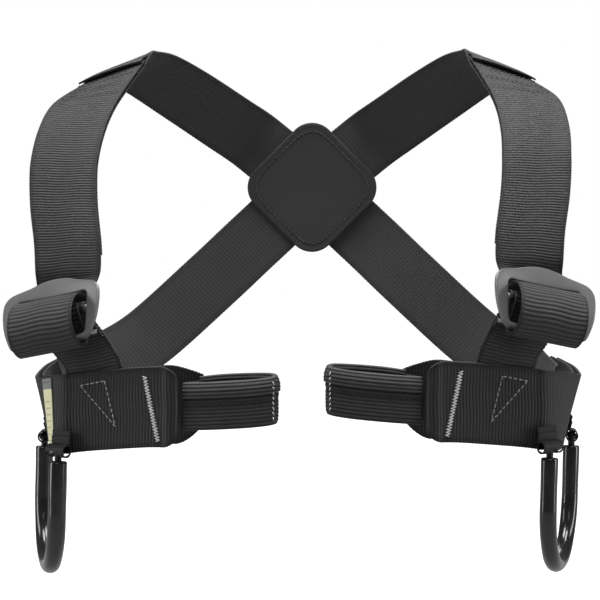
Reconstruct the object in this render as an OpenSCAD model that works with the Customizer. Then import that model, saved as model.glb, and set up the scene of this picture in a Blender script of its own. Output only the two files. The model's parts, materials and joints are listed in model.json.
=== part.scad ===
// Webbing chest harness: two shoulder straps with doubled-back adjusters,
// a crossed back, two side bands with sleeved front eyes and a gear loop each.
// Frame: +Z up, the front of the harness faces -Y, "right" is the wearer's right (-X).
// Origin: centre of the inner face of the crossing patch.  Millimetres.

/* [Webbing] */
// width of the shoulder, back and adjuster webbing
strap_width = 45; // [43:0.5:46]
// thickness of the shoulder and back webbing
strap_thickness = 1.8; // [1.4:0.1:2.0]
// thickness of each of the two side band layers
band_layer = 1.7; // [1.4:0.1:1.8]
// width of the webbing inside the front eyes
eye_web_width = 25; // [22:0.5:26]
// outside height of the front eye sleeves
eye_sleeve_height = 30; // [29:0.5:32]

/* [Adjuster buckle] */
// overall length of the buckle plate along its bar
plate_length = 70; // [68:0.5:72]
// thickness of the dished buckle plate
plate_thickness = 2.8; // [2.2:0.1:3.2]
// clear length of the two webbing slots
slot_length = 50; // [49:0.5:52]
// diameter of the centre bar
bar_diameter = 6; // [5:0.1:6.4]
// lean of the plate away from the chest, degrees
plate_lean = 28; // [22:1:32]

/* [Gear loops] */
// outside diameter of the stiff tube
tube_diameter = 10; // [9:0.5:11]
// diameter of the cord inside the tube
cord_diameter = 4.6; // [4.2:0.1:5]
// height of the tube loop from pivot line to bottom
loop_drop = 80.5; // [60:0.5:90]

/* [Crossing patch] */
// side of the rounded square patch
patch_side = 76; // [70:1:80]
// corner radius of the patch
patch_corner = 17.5; // [12:0.5:20]
// thickness of each patch ply
patch_ply = 1.4; // [1.2:0.1:1.8]

/* [Hang] */
// sideways set of the two shoulder straps toward the wearer's right
hang_drift = 4; // [0:0.5:6]
// how much the left buckle hangs higher and the right one lower
hang_lift = 2; // [0:0.5:3]
// how much the whole left front hangs higher and the right front lower
front_lift = 2; // [0:0.5:3]

/* [Hidden] */
$fn = 48;
SUB = 6;

black = [0.13, 0.13, 0.14];
grey = [0.46, 0.46, 0.47];
white = [0.85, 0.85, 0.83];
hw = strap_width / 2;
lead = 0.3445; // run of the flat front panel backwards per unit outwards

// ---- vectors, smooth paths and ribbon sections ----
function unit(v) = v / norm(v);
function cr(a, b, c, d, t) =
    0.5 * (2*b + t*(c - a) + t*t*(2*a - 5*b + 4*c - d) + t*t*t*(3*b - a - 3*c + d));
function smooth(p, n) = concat(
    [for (i = [0:len(p)-2], k = [0:n-1])
        cr(p[max(i-1, 0)], p[i], p[i+1], p[min(i+2, len(p)-1)], k/n)],
    [p[len(p)-1]]);
function mid(e) = (e[0] + e[1]) / 2;
function tang(s, i) = unit(mid(s[min(i+1, len(s)-1)]) - mid(s[max(i-1, 0)]));
function across(s, i) = unit(s[i][1] - s[i][0]);
function normal(s, i) = unit(cross(tang(s, i), across(s, i)));
function half(s, i) = norm(s[i][1] - s[i][0]) / 2;
function sect(h, th, off) = let (e = 0.35*th, q = th/2) [
    [-h+e, off+q], [h-e, off+q], [h, off+q-e], [h, off-q+e],
    [h-e, off-q], [-h+e, off-q], [-h, off-q+e], [-h, off+q-e]];
function clamp(x) = min(1, max(0, x));
function raise(side, p) = side*front_lift*clamp((-60 - p[1])/100);
// position on one side of the harness, with the hang of that side mixed in by k
function place(side, p, k) = [
    side*p[0] - hang_drift*k,
    p[1] - side*hang_drift*lead*k,
    p[2] + side*hang_lift*k + raise(side, p)];
// how far the hang reaches: 1 shoulder strap, 2 buckle, 3 back strap with its front lining
function hang(p, m) = let (k = clamp((90 - p[2])/70))
    m == 1 ? k : m == 2 ? 1 : m == 3 ? k*clamp((-80 - p[1])/15) : 0;
function ring(s, i, side, th, off, h, m, sh = 0) = let (
    c = mid(s[i]), w = across(s, i), n = normal(s, i),
    k = hang(c, m), hh = h > 0 ? h : half(s, i) + h)
    [for (q = sect(hh, th, off)) place(side, c + w*(q[0] + sh) + n*q[1], k)];
function tri(side, a, b, c) = side > 0 ? [a, b, c] : [c, b, a];
function skin(n, side, base, turn) = [for (i = [0:n-2], j = [0:7]) each
    let (a = base + i*8 + j, b = base + i*8 + (j+1)%8, c = b + 8, d = a + 8)
    [tri(side*turn, a, b, c), tri(side*turn, a, c, d)]];
// ribbon along the stations first to last; h is a half width, or a change to the strap's own
module ribbon(side, s, th, off, h, m, sh = 0, first = 0, last = -1) {
    end = last < 0 ? len(s) - 1 : last;
    n = end - first + 1;
    pts = [for (i = [first:end]) each ring(s, i, side, th, off, h, m, sh)];
    a = [for (j = [0:7]) 7 - j];
    b = [for (j = [0:7]) 8*(n-1) + j];
    ar = [for (j = [0:7]) j];
    br = [for (j = [0:7]) 8*(n-1) + 7 - j];
    polyhedron(pts, concat([side > 0 ? a : ar, side > 0 ? b : br], skin(n, side, 0, 1)));
}
module sleeve(side, s, th, wall, h, first, last) {
    n = last - first + 1;
    o = [for (i = [first:last]) each ring(s, i, side, th, 0, h, 0)];
    q = [for (i = [first:last]) each ring(s, i, side, th - 2*wall, 0, h - wall, 0)];
    m = 8*n;
    e = 8*(n-1);
    ends = [for (j = [0:7]) each let (k = (j+1)%8) [
        tri(side, j, m+j, m+k), tri(side, j, m+k, k),
        tri(side, e+j, e+k, m+e+k), tri(side, e+j, m+e+k, m+e+j)]];
    polyhedron(concat(o, q), concat(ends, skin(n, side, 0, 1), skin(n, side, m, -1)));
}

// ---- adjuster frame: X outwards along the bar, Y toward the body, Z up the plate ----
yaw = atan(lead);
roll = 11.8;
bar_at = [154.8, -189.05, -74];
bar_x = [cos(yaw)*cos(roll), sin(yaw)*cos(roll), -sin(roll)];
out_n = [sin(yaw), -cos(yaw), 0];
bar_s = [cos(yaw)*sin(roll), sin(yaw)*sin(roll), cos(roll)];
plate_z = bar_s*cos(plate_lean) - out_n*sin(plate_lean);
plate_y = -out_n*cos(plate_lean) - bar_s*sin(plate_lean);
function bp(x, y, z) = bar_at + bar_x*x + plate_y*y + plate_z*z;

// ---- ribbon stations, each an outer or lower edge and an inner or upper edge ----
shoulder_st = [
    [[150, -104, 71.5], [108, -99, 88]],
    [[165, -119, 59], [125, -122, 62.5]],
    [[173, -134, 42], [130, -139, 42.5]],
    [[176, -148, 20], [131, -154, 20]],
    [[174.5, -159, -5], [129.5, -166, -4]],
    [[171, -167.5, -29], [126, -176.5, -26.5]],
    [[169.3, -171.8, -47], [125.3, -181.8, -43]],
    [bp(16, 3.8, 23.5) + [0, 0, 1], bp(-29, 3.8, 23.5) + [0, 0, -1]],
    [bp(19, 3.4, 16), bp(-26, 3.4, 16)],
    [bp(21, 2.6, 9.6), bp(-24, 2.6, 9.6)]];
roll_path = [[1.6, 8.0], [-3, 8.1], [-9, 6.6], [-14, 2.2], [-17, -4.4], [-17.6, -11.6],
    [-15.6, -18.6], [-11, -24], [-5, -26.2], [0.5, -25.6], [3.9, -22.6], [4.4, -18.8],
    [2.4, -15.6], [-1.7, -13], [-5.6, -9.8], [-8.6, -5.2], [-9.4, 0]];
roll_st = [for (p = roll_path) [bp(22.4, p[0], p[1]), bp(-22.8, p[0], p[1])]];
lining_st = let (s = smooth(shoulder_st, SUB)) [for (i = [33, 30, 27, 24, 21, 18, 15, 12, 9, 6, 3, 1])
    [for (e = [0, 1]) s[i][e] + normal(s, i)*(strap_thickness + 0.7)]];
function back_st(y) = concat(lining_st, [
    [[148.5, -92, 71], [102.5, -87, 95]],
    [[145, -79, 70.5], [99.5, -73, 95.8]],
    [[131, -60, 66.5], [89, -54, 92.5]],
    [[104, -35, 51], [70.5, -31, 79]],
    [[74, -13, 32.5], [46, -11, 60]],
    [[58, y-2.6, 19.7], [30.5, y-2.4, 51]],
    [[44.5, y, 7.6], [16.2, y, 41]],
    [[30, y, -4.4], [1, y, 29.3]],
    [[14.6, y, -17.1], [-14.6, y, 17.1]],
    [[-0.5, y, -30.6], [-30.4, y, 2.8]],
    [[-15.4, y, -44.4], [-46, y, -12.2]],
    [[-31, y-1.6, -59], [-62, y-1.7, -27]],
    [[-57, -3.5, -83.5], [-88.5, -4, -52]],
    [[-100, -15, -121.5], [-131, -17, -91]],
    [[-135, -33, -144], [-155, -38, -106]],
    [[-152.5, -56, -157], [-165, -60, -116]],
    [[-160.5, -84, -161], [-170.5, -86, -120]]]);
band_st = [
    [[159, -48, -163], [171, -48, -117]],
    [[167, -78, -167], [179, -78, -120]],
    [[168, -108, -169], [181, -106, -123]],
    [[166.2, -138, -169], [175.4, -138, -121]],
    [[162.4, -160, -168.3], [168.4, -160, -118.5]],
    [[158.6, -174.5, -167], [161.6, -174.5, -116]],
    [[153, -183.3, -165.5], [153, -183.3, -114.5]],
    [[146, -185.71, -164.2], [146, -185.71, -113.3]],
    [[135, -189.5, -162.5], [135, -189.5, -111.5]],
    [[120, -194.67, -160.7], [120, -194.67, -109.7]],
    [[105, -199.83, -159], [105, -199.83, -108]]];
outer_st = concat(band_st, [
    [[92, -204.3, -157.6], [92, -204.3, -107.2]],
    [[84, -206.8, -155.5], [84, -206.8, -109]],
    [[77, -209, -149], [77, -209, -115.5]]]);
inner_st = concat(band_st, [
    [[93, -202, -157.6], [93, -202, -107.2]],
    [[82, -197.6, -155.5], [82, -197.6, -107]],
    [[71, -195.6, -150], [71, -195.6, -110]],
    [[63, -195.6, -145], [63, -195.6, -113]]]);
eye_mid = [[75.5, -206.9, -132.3],
    [66, -209.8, -132.3], [52, -212.2, -132.2], [36, -214.4, -131.8], [26, -215.6, -131.2],
    [19.2, -214.4, -130.6], [16.8, -210.4, -129.8], [19.2, -206.4, -129],
    [26, -205, -128.6], [36, -203.9, -128.4], [50, -201.9, -128.6],
    [62, -200.6, -129.4], [74.5, -200.3, -130.6]];
// the two eyes droop differently toward their tips
function eye_st(side) = [for (p = eye_mid)
    let (q = p + [0, 0, (4.4 + 1.1*side)*clamp((84 - p[0])/66)]) [q - [0, 0, 12.5], q + [0, 0, 12.5]]];
shoulder_s = smooth(shoulder_st, SUB);
roll_s = smooth(roll_st, 4);
outer_s = smooth(outer_st, SUB);
inner_s = smooth(inner_st, SUB);
function eye_s(side) = smooth(eye_st(side), 5);

// layer offsets measured from the mid surface of the side band, outwards positive
ply = 2.4;
skin_off = ply + band_layer/2;

// ---- one side of the harness ----
module shoulder_strap(side) color(black) ribbon(side, shoulder_s, strap_thickness, 0, hw, 1);
module back_strap(side, y) color(black)
    ribbon(side, smooth(back_st(y), SUB), strap_thickness, 0, hw, 3);
module shoulder_bar_tack(side) color(black)
    ribbon(side, shoulder_s, 0.5, -(strap_thickness/2 + 0.9), hw - 3, 1, 0, 2, 5);
module side_band_outer(side) color(black) ribbon(side, outer_s, band_layer, -ply, 0, 0);
module side_band_lining(side) color(black) ribbon(side, inner_s, band_layer, ply, 0, 0);
module mirrored(side) multmatrix([[side, 0, 0, 0], [0, 1, 0, 0], [0, 0, 1, 0]]) children();
// flat front panel frame: X outwards, Y up, Z out of the panel
module panel(side) mirrored(side)
    multmatrix([[cos(yaw), 0, sin(yaw), 90], [sin(yaw), 0, -cos(yaw), -205], [0, 1, 0, side*front_lift]])
    children();
zig = 13;
module band_bar_tack(side) color(white) panel(side)
    translate([0, 0, skin_off + 0.1]) linear_extrude(0.5) polygon(concat(
        [for (i = [0:zig]) [(7.9 - 9.5*i/zig) + (i%2)*3.2, -113 - 40.5*i/zig]],
        [for (i = [zig:-1:0]) [(7.9 - 9.5*i/zig) + (i%2)*3.2 - 1.1, -113.6 - 40.5*i/zig]]));
tri_pts = [[53.4, -120.6], [36.4, -117], [28.9, -145.7]];
tri_in = [[50.9, -121.1], [37.1, -118.2], [31, -141.4]];
module triangle_stitch(side) color(grey) panel(side)
    translate([0, 0, skin_off + 0.15]) difference() {
        linear_extrude(0.45) polygon(tri_pts);
        translate([0, 0, -1]) linear_extrude(3) polygon(tri_in);
    }
module rear_bar_tack(side) color(grey)
    ribbon(side, outer_s, 0.5, -(skin_off + 0.5), 19, 0, 0, 2, 4);

// bar frame: X along the bar, Y out of the chest, Z up the buckle strap
module bar_frame(side) {
    o = place(side, bar_at, 1);
    multmatrix([[side*bar_x[0], side*out_n[0], side*bar_s[0], o[0]],
        [bar_x[1], out_n[1], bar_s[1], o[1]],
        [bar_x[2], out_n[2], bar_s[2], o[2]]]) children();
}
module along_bar(a, b) rotate([90, 0, 90]) translate([0, 0, a]) linear_extrude(b - a) children();
bar_r = bar_diameter/2;
loop_r = bar_r + 0.05;
fold = loop_r + strap_thickness;
// body side distance of the flat front panel from the bar axis
set_back = -((bar_at[0] - 90)*sin(yaw) - (bar_at[1] + 205)*cos(yaw));
leg_mid = smooth([[-loop_r - 0.9, 0.4], [-4.6, -8], [set_back - 0.6, -20],
    [set_back, -32], [set_back, -44], [set_back, -70]], 4);
tail_mid = smooth([[1.7, -3.6], [-0.4, -5.4], [-1.7, -8.5], [-2.4, -12], [-3.3, -19]], 4);
function leg_out(p, t) = [for (i = [0:len(p)-1]) let (
    d = unit(p[min(i+1, len(p)-1)] - p[max(i-1, 0)])) p[i] + t*[d[1], -d[0]]];
function rev(p) = [for (i = [len(p)-1:-1:0]) p[i]];
function band_poly(p) = concat(leg_out(p, 0.9), rev(leg_out(p, -0.9)));
module buckle_strap(side) color(black) bar_frame(side) intersection() {
    union() {
        difference() {
            union() {
                rotate([0, 90, 0]) translate([0, 0, -60]) cylinder(r = fold, h = 120);
                along_bar(-60, 60) polygon(band_poly(leg_mid));
                along_bar(-60, 60) polygon(band_poly(tail_mid));
            }
            rotate([0, 90, 0]) translate([0, 0, -61]) cylinder(r = loop_r, h = 122);
        }
    }
    rotate([90, 0, 0]) translate([0, 0, -30]) linear_extrude(60) polygon([
        [-24, 8], [20.5, 8], [20.5, -6], [4.5 + side*2, -34], [1 + side*2, -70],
        [-38 + side*2, -70], [-35 + side*2, -34], [-26, -10], [-24, -6]]);
}
module buckle_strap_bar_tack(side) color(white) bar_frame(side)
    translate([-27 + side*0.5, -1.25, -16.6]) cube([38, 0.5, 2.4]);

// plate frame: X along the bar, Y toward the body, Z up the plate
module plate_frame(side) {
    o = place(side, bar_at, 1);
    multmatrix([[side*bar_x[0], side*plate_y[0], side*plate_z[0], o[0]],
        [bar_x[1], plate_y[1], plate_z[1], o[1]],
        [bar_x[2], plate_y[2], plate_z[2], o[2]]]) children();
}
pl = plate_length/2;
dish = 150;
module slot(z0, z1, r) {
    translate([-slot_length/2 + r, z0]) square([slot_length - 2*r, z1 - z0]);
    translate([-slot_length/2, z0 + r]) square([slot_length, z1 - z0 - 2*r]);
    for (x = [-1, 1], z = [z0 + r, z1 - r]) translate([x*(slot_length/2 - r), z]) circle(r);
}
module plate_outline() {
    side_edge = [[pl - 9, -22.5], [pl - 6.2, -20.5], [pl - 3.4, -14.5], [pl - 1.1, -7], [pl, 2], [pl - 0.2, 9],
        [pl - 1.6, 13.2], [pl - 4.4, 16.4], [pl - 9, 18.6], [17, 21.2], [9, 23.8]];
    edge = smooth(side_edge, 3);
    polygon(concat(edge, [[0, 25.2]], [for (i = [len(edge)-1:-1:0]) [-edge[i][0], edge[i][1]]]));
}
module buckle_plate(side) color(grey) plate_frame(side) {
    intersection() {
        translate([0, -dish, -40]) difference() {
            cylinder(r = dish + plate_thickness/2, h = 80, $fn = 96);
            translate([0, 0, -1]) cylinder(r = dish - plate_thickness/2, h = 82, $fn = 96);
        }
        rotate([90, 0, 0]) translate([0, 0, -20]) linear_extrude(40) difference() {
            plate_outline();
            slot(-18.3, 11.8, 3);
        }
    }
    rotate([0, 90, 0]) translate([0, 0, -26.5]) cylinder(r = bar_r, h = 53);
}
module adjuster_roll(side) color(black) ribbon(side, roll_s, 1.8, 0, hw + 0.7, 2);

module eye_webbing(side) color(black) ribbon(side, eye_s(side), 1.8, 0, eye_web_width/2, 0);
module eye_sleeve(side) color(black)
    sleeve(side, eye_s(side), 4.8, 1.1, eye_sleeve_height/2, 1, 55);
module eye_sleeve_seam(side) color(black)
    ribbon(side, eye_s(side), 0.5, -2.8, 0.5, 0, 2, 3, 20);
module eye_tip_stitches(side) color(white)
    ribbon(side, eye_s(side), 0.5, -2.8, 13.5, 0, 0, 22, 24);

// ---- gear loop ----
knot = 3.1;
seat = knot + 0.25;
tab_wall = 0.9;
tab_r = seat + tab_wall;
front_pivot = [156.2, -190.4, -162.6];
rear_pivot = [177.3, -112, -164.4];
legs = norm(rear_pivot - front_pivot);
loop_r2 = legs/2;
cord_r = cord_diameter/2;
neck = 7.2;
function pivot(side, p) = p + [0, 0, raise(side, p)];
pivot_line = atan2(rear_pivot[1] - front_pivot[1], rear_pivot[0] - front_pivot[0]);
// tab folded round the cord's knot: dir turns it along the band, lean tips its flap with the band
module tab_profile(lean) {
    g = [cos(lean), sin(lean)];
    f = [-sin(lean), cos(lean)];
    gape = acos(seat/tab_r);
    polygon(concat([g*tab_r + f*13, g*seat + f*13],
        [for (i = [0:36]) let (a = lean + gape + (360 - gape)*i/36) tab_r*[cos(a), sin(a)]]));
}
module gear_tab(side, at, dir, lean, width) color(black) mirrored(side) translate(pivot(side, at))
    rotate([0, 0, dir]) difference() {
        along_bar(-width/2, width/2) tab_profile(lean);
        rotate([0, 90, 0]) translate([0, 0, -width/2 - 1]) cylinder(r = seat, h = width + 2);
        // slot for the swinging cord, square to the pivot line; y < 0 is outboard
        rotate([0, 0, pivot_line - dir]) along_bar(-cord_r - 0.55, cord_r + 0.55)
            polygon([[-12, -9], [12, -9], [12, -2], [0, -2], [0, -0.2], [-12, -0.2]]);
    }
// loop frame: X from the front pivot to the rear pivot, Z down the loop plane
module loop_frame(side, swing) {
    o = pivot(side, front_pivot);
    x = unit(pivot(side, rear_pivot) - o);
    y = unit(cross([0, 0, 1], x));
    z = cross(x, y);
    q = z*cos(swing) - y*sin(swing);
    p = y*cos(swing) + z*sin(swing);
    mirrored(side) multmatrix([[x[0], p[0], q[0], o[0]], [x[1], p[1], q[1], o[1]], [x[2], p[2], q[2], o[2]]])
        children();
}
function swing_of(side) = side < 0 ? -3 : 1.5;
module u_solid(r, top) {
    for (x = [0, legs]) translate([x, 0, -loop_drop + loop_r2])
        cylinder(r = r, h = loop_drop - loop_r2 - top);
    translate([loop_r2, 0, -loop_drop + loop_r2]) rotate([-90, 0, 0])
        rotate_extrude(angle = 180) translate([loop_r2, 0]) circle(r);
}
module gear_cord(side) color(black) loop_frame(side, swing_of(side)) {
    u_solid(cord_r, 0);
    for (x = [0, legs]) translate([x, 0, 0]) sphere(r = knot);
}
module gear_tube(side) color(black) loop_frame(side, swing_of(side)) difference() {
    u_solid(tube_diameter/2, neck);
    u_solid(cord_r + 0.3, neck - 1);
}

// ---- crossing patch and label ----
module patch_shape(a, r) {
    rotate([0, 0, 45]) {
        translate([-a/2 + r, -a/2]) square([a - 2*r, a]);
        translate([-a/2, -a/2 + r]) square([a, a - 2*r]);
        for (x = [-1, 1], y = [-1, 1]) translate([x, y]*(a/2 - r)) circle(r, $fn = 64);
    }
}
module patch(y0, t) rotate([90, 0, 0]) translate([0, 0, -y0 - t]) linear_extrude(t)
    patch_shape(patch_side, patch_corner);
low_y = patch_ply + 0.3 + strap_thickness/2;
high_y = low_y + strap_thickness + 0.4;
cap_y = high_y + strap_thickness/2 + 0.3;
module patch_stitching() color(black) rotate([90, 0, 0])
    translate([0, 0, -cap_y - patch_ply - 0.5]) difference() {
        linear_extrude(0.45) patch_shape(62, 10);
        translate([0, 0, -1]) linear_extrude(3) patch_shape(60.6, 9.4);
    }
module size_label() color([0.8, 0.79, 0.62])
    ribbon(-1, outer_s, 0.5, -(skin_off + 0.6), -1.6, 0, 0, 26, 32);
module size_label_stitching() color([0.4, 0.42, 0.42])
    ribbon(-1, outer_s, 0.4, -(skin_off + 1.15), 0.5, 0, 21.5, 26, 32);

shoulder_strap(-1);  // right_shoulder_strap
shoulder_strap(1);  // left_shoulder_strap
back_strap(-1, high_y);  // right_back_strap
back_strap(1, low_y);  // left_back_strap
shoulder_bar_tack(-1);  // right_shoulder_bar_tack
shoulder_bar_tack(1);  // left_shoulder_bar_tack
side_band_outer(-1);  // right_side_band_outer
side_band_outer(1);  // left_side_band_outer
side_band_lining(-1);  // right_side_band_lining
side_band_lining(1);  // left_side_band_lining
band_bar_tack(-1);  // right_band_bar_tack
band_bar_tack(1);  // left_band_bar_tack
triangle_stitch(-1);  // right_triangle_stitch
triangle_stitch(1);  // left_triangle_stitch
rear_bar_tack(-1);  // right_rear_bar_tack
rear_bar_tack(1);  // left_rear_bar_tack
buckle_strap(-1);  // right_buckle_strap
buckle_strap(1);  // left_buckle_strap
buckle_strap_bar_tack(-1);  // right_buckle_strap_bar_tack
buckle_strap_bar_tack(1);  // left_buckle_strap_bar_tack
buckle_plate(-1);  // right_buckle_plate
buckle_plate(1);  // left_buckle_plate
adjuster_roll(-1);  // right_adjuster_roll
adjuster_roll(1);  // left_adjuster_roll
eye_webbing(-1);  // right_eye_webbing
eye_webbing(1);  // left_eye_webbing
eye_sleeve(-1);  // right_eye_sleeve
eye_sleeve(1);  // left_eye_sleeve
eye_sleeve_seam(-1);  // right_eye_sleeve_seam
eye_sleeve_seam(1);  // left_eye_sleeve_seam
eye_tip_stitches(-1);  // right_eye_tip_stitches
eye_tip_stitches(1);  // left_eye_tip_stitches
gear_tab(-1, front_pivot, 33, 2, 15.2);  // right_gear_front_tab
gear_tab(1, front_pivot, 33, 2, 15.2);  // left_gear_front_tab
gear_tab(-1, rear_pivot, 88, 17, 12);  // right_gear_rear_tab
gear_tab(1, rear_pivot, 88, 17, 12);  // left_gear_rear_tab
gear_cord(-1);  // right_gear_cord
gear_cord(1);  // left_gear_cord
gear_tube(-1);  // right_gear_tube
gear_tube(1);  // left_gear_tube
color(black) patch(0, patch_ply);  // crossing_patch_inner
color(black) patch(cap_y, patch_ply);  // crossing_patch_outer
patch_stitching();  // crossing_patch_stitching
size_label();
size_label_stitching();
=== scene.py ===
"""Looks for the webbing chest harness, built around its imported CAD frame.

Positions are metres.  Names ending in _mm, the named sizes and the weave coordinates u and s are
millimetres, and MM turns them into metres.  Every strap is rebuilt as fine ribbed webbing along the
cross-sections of its CAD node, so each piece lies where the CAD lies.
"""
import json
import math
from types import SimpleNamespace

import bpy
import numpy as np
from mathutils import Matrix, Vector


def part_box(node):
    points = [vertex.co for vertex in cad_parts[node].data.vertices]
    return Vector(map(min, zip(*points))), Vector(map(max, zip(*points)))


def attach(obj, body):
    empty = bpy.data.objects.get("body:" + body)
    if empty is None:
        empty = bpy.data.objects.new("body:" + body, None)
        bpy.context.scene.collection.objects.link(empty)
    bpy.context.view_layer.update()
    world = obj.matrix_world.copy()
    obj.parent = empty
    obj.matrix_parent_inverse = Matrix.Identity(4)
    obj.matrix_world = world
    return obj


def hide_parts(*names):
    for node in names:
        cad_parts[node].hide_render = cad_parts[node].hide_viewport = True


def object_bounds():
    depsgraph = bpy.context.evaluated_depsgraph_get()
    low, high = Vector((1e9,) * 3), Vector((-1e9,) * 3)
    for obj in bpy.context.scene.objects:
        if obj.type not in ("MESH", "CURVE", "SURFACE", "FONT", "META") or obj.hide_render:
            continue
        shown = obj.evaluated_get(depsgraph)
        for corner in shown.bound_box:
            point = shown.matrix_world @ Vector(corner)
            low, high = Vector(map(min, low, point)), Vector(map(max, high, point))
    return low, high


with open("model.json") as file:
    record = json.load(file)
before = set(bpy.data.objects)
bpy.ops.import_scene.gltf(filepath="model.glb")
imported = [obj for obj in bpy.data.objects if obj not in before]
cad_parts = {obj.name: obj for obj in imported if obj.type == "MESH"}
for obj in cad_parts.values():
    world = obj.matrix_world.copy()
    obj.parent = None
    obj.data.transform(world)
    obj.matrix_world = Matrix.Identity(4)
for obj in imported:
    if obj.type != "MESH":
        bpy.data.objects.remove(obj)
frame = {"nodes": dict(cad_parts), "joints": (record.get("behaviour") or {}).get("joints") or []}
cad_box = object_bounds()
joints = {j["name"]: j for j in frame["joints"]}
rng = np.random.default_rng(7)
MM = 0.001
SIDES = (("right", -1), ("left", 1))

# ------------------------------------------------------------------ materials


def srgb(*levels):
    """Linear RGBA of a colour given as 0-255 levels, one level meaning a grey."""
    values = [c / 255 for c in (levels * 3 if len(levels) == 1 else levels)]
    return [c / 12.92 if c <= 0.04045 else ((c + 0.055) / 1.055) ** 2.4 for c in values] + [1]


class Nodes:
    """A short way to write a node tree."""

    def __init__(self, name):
        self.material = bpy.data.materials.new(name)
        self.material.use_nodes = True
        self.tree = self.material.node_tree
        self.surface = self.tree.nodes["Principled BSDF"]

    def add(self, kind, inputs=None, **settings):
        node = self.tree.nodes.new("ShaderNode" + kind)
        for key, value in settings.items():
            setattr(node, key, value)
        for key, value in (inputs or {}).items():
            self.put(node.inputs[key], value)
        return node

    def put(self, socket, value):
        if isinstance(value, bpy.types.NodeSocket):
            self.tree.links.new(value, socket)
        else:
            socket.default_value = value

    def maths(self, operation, a, b=0.0, c=0.0):
        node = self.add("Math", operation=operation)
        for socket, value in zip(node.inputs, (a, b, c)):
            self.put(socket, value)
        return node.outputs[0]

    def mix(self, factor, a, b):
        node = self.add("Mix", data_type="RGBA")
        for socket, value in zip((node.inputs[0], node.inputs[6], node.inputs[7]), (factor, a, b)):
            self.put(socket, value)
        return node.outputs[2]

    def noise(self, vector, scale, detail):
        node = self.add("TexNoise", {"Vector": vector, "Scale": scale, "Detail": detail, "Roughness": 0.55})
        return node.outputs["Fac"]

    def attribute(self, name, output):
        return self.add("Attribute", attribute_name=name).outputs[output]

    def stretched(self, vector, factors):
        return self.add("VectorMath", {0: vector, 1: factors}, operation="MULTIPLY").outputs[0]

    def bump(self, height, strength, distance_mm):
        inputs = {"Height": height, "Strength": strength, "Distance": distance_mm * MM}
        return self.add("Bump", inputs).outputs["Normal"]

    def finish(self, **inputs):
        for key, value in inputs.items():
            self.put(self.surface.inputs[key.replace("_", " ")], value)
        return self.material


def fabric(name, groove, crest, sheen, yarn_mm=0.62, rough=0.62, twill=0.5):
    """Ribbed nylon: painted shade darkens the grooves and a painted highlight lightens the crests, with fine
    yarns.
    """
    n = Nodes(name)
    web = n.attribute("web", "Vector")
    ridge = n.maths("POWER", n.attribute("ridge", "Fac"), 1.7)
    split = n.add("SeparateXYZ", {"Vector": web})
    across, along = split.outputs[0], split.outputs[1]
    place = n.add("TexCoord").outputs["Object"]
    phase = n.maths("MULTIPLY", along, twill * 2 * math.pi / yarn_mm)
    yarn = n.maths("SINE", n.maths("MULTIPLY_ADD", across, 2 * math.pi / yarn_mm, phase))
    cross = n.maths("SINE", n.maths("MULTIPLY", along, 2 * math.pi / yarn_mm))
    weave = n.maths("MULTIPLY_ADD", yarn, 0.5, n.maths("MULTIPLY", cross, 0.25))
    fuzz = n.noise(place, 2600, 2)
    drift = n.noise(place, 38, 4)
    streak = n.noise(n.stretched(web, (0.05, 1.6, 1)), 1.0, 2)
    tone = n.maths("MULTIPLY_ADD", drift, 0.5, n.maths("MULTIPLY", streak, 0.45))
    light = n.maths("MULTIPLY", ridge, n.maths("ADD", tone, 0.35))
    light = n.maths("MULTIPLY_ADD", weave, 0.10, light)
    # painted shade in the grooves and a painted highlight on the crests, varied at random by tone and weave
    colour = n.mix(n.maths("MAXIMUM", light, 0.0), groove, crest)
    height = n.maths("MULTIPLY_ADD", fuzz, 0.6, weave)
    return n.finish(
        Base_Color=colour,
        Roughness=n.maths("MULTIPLY_ADD", fuzz, 0.16, rough - 0.08),
        Sheen_Weight=sheen,
        Sheen_Roughness=0.45,
        Sheen_Tint=srgb(200),
        Normal=n.bump(height, 0.32, 0.22),
    )


def thread(name, colour):
    """Twisted sewing thread."""
    n = Nodes(name)
    place = n.add("TexCoord").outputs["Object"]
    ply = n.add("TexWave", {"Vector": place, "Scale": 900.0, "Distortion": 2.0}, bands_direction="DIAGONAL")
    tone = n.noise(place, 420, 2)
    dark = [c * 0.62 for c in colour[:3]] + [1]
    return n.finish(
        Base_Color=n.mix(tone, dark, colour),
        Roughness=0.5,
        Sheen_Weight=0.2,
        Normal=n.bump(ply.outputs["Fac"], 0.35, 0.1),
    )


def plate_metal():
    """Satin grey hard coat on the buckle plates, with fine tumbling marks."""
    n = Nodes("plate_metal")
    place = n.add("TexCoord").outputs["Object"]
    cloud = n.noise(place, 55, 4)
    grain = n.noise(place, 1500, 2)
    scratch = n.noise(n.stretched(place, (260, 2400, 2400)), 1.0, 3)
    mark = n.maths("GREATER_THAN", scratch, 0.72)
    colour = n.mix(n.maths("MULTIPLY_ADD", cloud, 0.7, 0.1), srgb(94), srgb(117))
    colour = n.mix(n.maths("MULTIPLY", mark, 0.25), colour, srgb(165))
    return n.finish(
        Base_Color=colour,
        Metallic=0.35,
        Roughness=n.maths("MULTIPLY_ADD", grain, 0.14, 0.34),
        Normal=n.bump(grain, 0.12, 0.1),
    )


def tube_plastic():
    """Glossy black tube with faint extrusion lines."""
    n = Nodes("tube_plastic")
    place = n.add("TexCoord").outputs["Object"]
    cloud = n.noise(place, 30, 3)
    fine = n.noise(place, 700, 2)
    return n.finish(
        Base_Color=n.mix(cloud, srgb(22), srgb(34)),
        Roughness=n.maths("MULTIPLY_ADD", cloud, 0.1, 0.15),
        Coat_Weight=0.35,
        Coat_Roughness=0.1,
        Normal=n.bump(fine, 0.05, 0.2),
    )


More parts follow.
